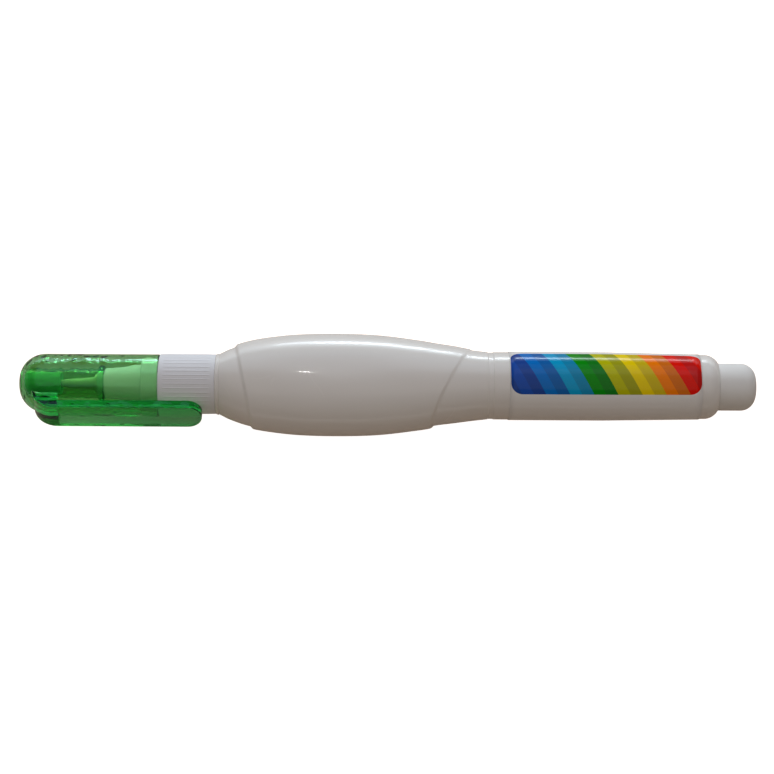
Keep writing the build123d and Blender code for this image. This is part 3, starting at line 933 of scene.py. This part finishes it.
def nozzle_profile(size):
    """Along the outside from the boss to the collar, and back through the socket and the bore."""
    boss_x, rim_x = nozzle_low.x, nozzle_high.x
    collar_x = rim_x - size.collar_length
    spigot_x = collar_x - size.spigot_length
    nose_x = boss_x + size.boss_length
    socket_x, chamber_x = gasket_low.x, tip_high.x
    socket_radius = gasket_high.y + FIT_GAP
    outside = [
        (boss_x, size.tip_bore + size.corner),
        (boss_x, size.boss_radius),
        (nose_x, size.boss_radius),
        (nose_x, size.nose_front_radius),
        (spigot_x, size.nose_rear_radius),
        (spigot_x, size.spigot_radius),
        (collar_x, size.spigot_radius),
        (collar_x, size.collar_radius),
        (rim_x, size.collar_radius),
        (rim_x, socket_radius),
        (socket_x, socket_radius),
        (socket_x, size.chamber_radius),
        (chamber_x, size.chamber_radius),
        (chamber_x, size.tip_bore),
        (boss_x + size.corner, size.tip_bore),
    ]
    return soften(outside, size.corner)


def rib_tree(material):
    """Adds a ring of round ribs with tapered ends to a collar."""
    sizes = ("Rib Radius", "Rib Length", "Rib End", "Ring Radius", "Rib Start", "Axis Height")
    counts = ("Rib Count", "Rib Rows", "Rib Sides")
    inputs = {"Geometry": ("Collar",), "Int": counts, "Float": sizes}
    tree, size = new_tree("Collar ribs", "Geometry", inputs, {"Geometry": ("Nozzle",)})

    # One rib, with its points close together at its ends, where it is blunt
    end_area = 0.02
    line = geometry(tree, "CurvePrimitiveLine", output="Curve")
    fine = geometry(tree, "ResampleCurve", {"Curve": line, "Count": size["Rib Rows"]}, "Curve")
    share = geometry(tree, "SplineParameter", output="Factor")
    eased = times_plus(maths("COSINE", times(share, pi)), -0.5, 0.5)
    along = times(eased, size["Rib Length"])
    spread = geometry(tree, "SetPosition", {"Geometry": fine, "Position": joined(X=along)})
    from_end = maths("MINIMUM", along, minus(size["Rib Length"], along))
    short = ranged(maths("DIVIDE", from_end, size["Rib End"]), 0.0, 1.0, 1.0, 0.0)
    taper = maths("SQRT", times_plus(times(short, short), end_area - 1.0, 1.0))
    section = {"Resolution": size["Rib Sides"], "Radius": size["Rib Radius"]}
    ring = geometry(tree, "CurvePrimitiveCircle", section, "Curve")
    sweep = {"Curve": spread, "Profile Curve": ring, "Scale": taper, "Fill Caps": True}
    rib = geometry(tree, "CurveToMesh", sweep, "Mesh")

    # A ring of ribs round the collar
    circle = {"Vertices": size["Rib Count"], "Radius": size["Ring Radius"]}
    flat = geometry(tree, "MeshCircle", circle, "Mesh")
    stand = joined(X=size["Rib Start"], Z=size["Axis Height"])
    upright = {"Geometry": flat, "Translation": stand, "Rotation": (pi / 2, 0.0, pi / 2)}
    seats = geometry(tree, "Transform", upright)
    copies = geometry(tree, "InstanceOnPoints", {"Points": seats, "Instance": rib}, "Instances")
    both = add_node(tree, "GeometryNodeJoinGeometry", {"Geometry": copies})
    tree.links.new(size["Collar"], both.inputs["Geometry"])
    end_geometry(tree, both.outputs["Geometry"], material, "Nozzle")
    return tree


class PEN_OT_nozzle(bpy.types.Operator):
    """Make the ribbed collar with its nose"""

    bl_idname = "pen.make_nozzle"
    bl_label = "Nozzle"

    def execute(self, context):
        settings = context.scene.pen
        size = settings.nozzle
        white = plastic("moulded", "white_nozzle", settings.finish.nozzle)
        piece = turned_mesh("ribbed_nozzle", nozzle_profile(size), size.segments, white)
        inputs = {
            "Rib Length": size.collar_length - size.rib_margin - size.rib_rear_margin,
            "Ring Radius": size.collar_radius - size.rib_sink,
            "Rib Start": nozzle_high.x - size.collar_length + size.rib_margin,
            "Axis Height": axis_height,
        }
        grow(piece, rib_tree(white), size, inputs)
        seat(piece, "bottle", "nozzle")
        return {"FINISHED"}


# Tail plug


def plug_profile(size, tail_bore):
    """From the axis at the tail's end, along the outside to the skirt, and back inside to the axis."""
    tail_x, stub_x, skirt_x = plug_high.x, bottle_high.x, plug_low.x
    skirt_radius = tail_bore - FIT_GAP
    inner_radius = skirt_radius - size.skirt_wall
    gate = [
        (tail_x - size.gate_depth, 0.0),
        (tail_x - size.gate_depth, size.gate_floor_radius),
        (tail_x, size.gate_radius),
    ]
    nose = []
    for step in range(size.end_rows + 1):
        angle = pi / 2 * step / size.end_rows
        along = tail_x - size.end_round * (1 - cos(angle))
        nose.append((along, size.stub_radius - size.end_round * (1 - sin(angle))))
    body = [
        nose[-1],
        (stub_x, size.stub_radius),
        (stub_x, skirt_radius),
        (skirt_x, skirt_radius),
        (skirt_x, inner_radius),
        (tail_x - size.end_wall, inner_radius),
        (tail_x - size.end_wall, 0.0),
    ]
    return gate + nose + soften(body, size.corner)[1:]


class PEN_OT_plug(bpy.types.Operator):
    """Make the tail plug"""

    bl_idname = "pen.make_plug"
    bl_label = "Tail plug"

    def execute(self, context):
        settings = context.scene.pen
        size = settings.plug
        white = plastic("moulded", "white_plug", settings.finish.plug)
        profile = plug_profile(size, settings.bottle.tail_bore)
        piece = turned_mesh("tail_stopper", profile, size.segments, white)
        seat(piece, "bottle", "tail_plug")
        return {"FINISHED"}


# Cap, valve and ball


class PEN_OT_cap(bpy.types.Operator):
    """Give the cap and its soft plug their finishes"""

    bl_idname = "pen.dress_cap"
    bl_label = "Cap"

    def execute(self, context):
        finish = context.scene.pen.finish
        dress(green_plastic(finish), "cap_shell")
        # Lamps reach the nose through the clear cap
        cad["cap_shell"].visible_shadow = False
        dress(plastic("rubber", "cap_rubber", finish.cap_seal), "cap_tip_seal")
        return {"FINISHED"}


def valve_coil(steel):
    """The valve's spring as a closed piece of its own, in place of the imported one. The real spring shortens
    as the needle is pressed.
    """
    mesh = bmesh.new()
    mesh.from_mesh(cad["valve_spring"].data)
    piece = mesh_piece("valve_coil", mesh, steel)
    seat(piece, "bottle", "valve_spring")
    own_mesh(piece)


class PEN_OT_valve(bpy.types.Operator):
    """Give the tip, the valve, the gasket and the mixing ball their finishes, and make the spring"""

    bl_idname = "pen.dress_valve"
    bl_label = "Valve"

    def execute(self, context):
        finish = context.scene.pen.finish
        tip = turned_metal("tip_metal", finish.tip, roughness=0.45, pitch=9000.0, ring_depth=0.000001)
        dress(tip, "metal_tip")
        steel = turned_metal("valve_steel", finish.steel, roughness=0.20, pitch=4000.0, ring_depth=0.000004)
        dress(steel, "valve_needle", "mixing_ball")
        valve_coil(steel)
        dress(plastic("acetal", "valve_plastic", finish.acetal), "needle_slider", "spring_seat")
        dress(plastic("rubber", "gasket_rubber", finish.seal), "neck_gasket")
        return {"FINISHED"}


# Stage


def floor_material(stage):
    """Pale floor that reads as white to the eye. To gloss and glass, it has a painted shade round the pen."""
    material, tree = new_material("pale_floor")
    path = add_node(tree, "ShaderNodeLightPath").outputs
    place = split(object_place(tree))
    from_middle = maths("ABSOLUTE", place["X"])
    past_end = maths("MAXIMUM", minus(from_middle, cad_box[1].x), 0.0)
    away = hypotenuse(past_end, place["Y"])
    # Painted shade: the glow that gloss and glass see is dimmed near the pen, in place of its shadow
    fade = (stage.shade_start, stage.shade_end, stage.shade_level, 1.0)
    painted_shade_glow = ranged(away, *fade, interpolation="SMOOTHSTEP")
    through = maths("MAXIMUM", path["Is Glossy Ray"], path["Is Transmission Ray"])
    seen = maths("MAXIMUM", path["Is Camera Ray"], times(through, painted_shade_glow))
    inputs = {
        "Base Color": opaque(stage.floor_colour),
        "Roughness": 1.0,
        "Specular IOR Level": 0.0,
        "Emission Color": (1.0, 1.0, 1.0, 1.0),
        "Emission Strength": times(seen, stage.floor_glow),
    }
    return finished(material, inputs)


def area_lamp(name, place, width, depth, power, tint):
    """A soft rectangular lamp that points at the pen."""
    lamp = bpy.data.lights.new(name, "AREA")
    lamp.shape = "RECTANGLE"
    lamp.size = width
    lamp.size_y = depth
    lamp.energy = power
    lamp.color = tint
    holder = new_piece(name, lamp)
    holder.location = place
    to_pen = Vector((0.0, 0.0, axis_height)) - Vector(place)
    holder.rotation_euler = to_pen.to_track_quat("-Z", "Y").to_euler()


def studio_camera(stage):
    """The picture's camera: square to the pen, high over its near side, rolled a little."""
    lens = bpy.data.cameras.new("picture_camera")
    lens.sensor_width = 36.0
    lens.lens = lens.sensor_width * stage.distance / stage.view_width
    lens.clip_start = 0.01
    camera = new_piece("picture_camera", lens)
    at_pen = Matrix.Translation((0.0, 0.0, axis_height))
    tilted = at_pen @ Matrix.Rotation(pi / 2 - stage.elevation, 4, "X")
    set_back = tilted @ Matrix.Translation((-stage.shift_right, -stage.shift_up, stage.distance))
    camera.matrix_world = set_back @ Matrix.Rotation(stage.roll, 4, "Z")
    bpy.context.scene.camera = camera


def studio_world(stage):
    """The room round the lamps, a little lighter where it is seen through glass."""
    world = bpy.data.worlds.new("studio_room")
    world.use_nodes = True
    tree = world.node_tree
    room = tree.nodes["Background"].inputs
    through = add_node(tree, "ShaderNodeLightPath").outputs["Is Transmission Ray"]
    plug_in(room["Color"], opaque(stage.world_colour))
    plug_in(room["Strength"], times_plus(through, stage.room_glow, stage.world_level))
    bpy.context.scene.world = world


class PEN_OT_stage(bpy.types.Operator):
    """Make the floor, the lamps and the camera"""

    bl_idname = "pen.make_stage"
    bl_label = "Stage"

    def execute(self, context):
        stage = context.scene.pen.stage
        half = stage.floor_size / 2
        data = bpy.data.meshes.new("floor")
        corners = [(-half, -half, 0.0), (half, -half, 0.0), (half, half, 0.0), (-half, half, 0.0)]
        data.from_pydata(corners, [], [(0, 1, 2, 3)])
        data.materials.append(floor_material(stage))
        floor = new_piece("floor", data)
        for name, lamp in LAMPS.items():
            area_lamp(name + "_lamp", *lamp)
        studio_world(stage)
        studio_camera(stage)
        context.scene.view_settings.view_transform = "Standard"
        return {"FINISHED"}


# Panel


class PEN_PT_panel(bpy.types.Panel):
    """The pen's pieces and settings"""

    bl_label = "Squeeze pen"
    bl_idname = "PEN_PT_panel"
    bl_space_type = "VIEW_3D"
    bl_region_type = "UI"
    bl_category = "Pen"

    def draw(self, context):
        settings = context.scene.pen
        for operator in OPERATORS:
            self.layout.operator(operator.bl_idname)
        for group_name in PenSettings.__annotations__:
            box = self.layout.box()
            box.label(text=group_name.title())
            group = getattr(settings, group_name)
            for name in type(group).__annotations__:
                box.prop(group, name)


SETTINGS = (BottleSettings, LabelSettings, NozzleSettings, PlugSettings, FinishSettings, StageSettings)
OPERATORS = (PEN_OT_bottle, PEN_OT_label, PEN_OT_nozzle, PEN_OT_plug, PEN_OT_cap, PEN_OT_valve, PEN_OT_stage)
CLASSES = (*SETTINGS, PenSettings, *OPERATORS, PEN_PT_panel)


def register():
    for kind in CLASSES:
        bpy.utils.register_class(kind)
    bpy.types.Scene.pen = bpy.props.PointerProperty(type=PenSettings)


def unregister():
    del bpy.types.Scene.pen
    for kind in reversed(CLASSES):
        bpy.utils.unregister_class(kind)


def main():
    register()
    bpy.ops.pen.make_bottle()
    bpy.ops.pen.make_label()
    bpy.ops.pen.make_nozzle()
    bpy.ops.pen.make_plug()
    bpy.ops.pen.dress_cap()
    bpy.ops.pen.dress_valve()
    bpy.ops.pen.make_stage()


if __name__ == "__main__":
    main()
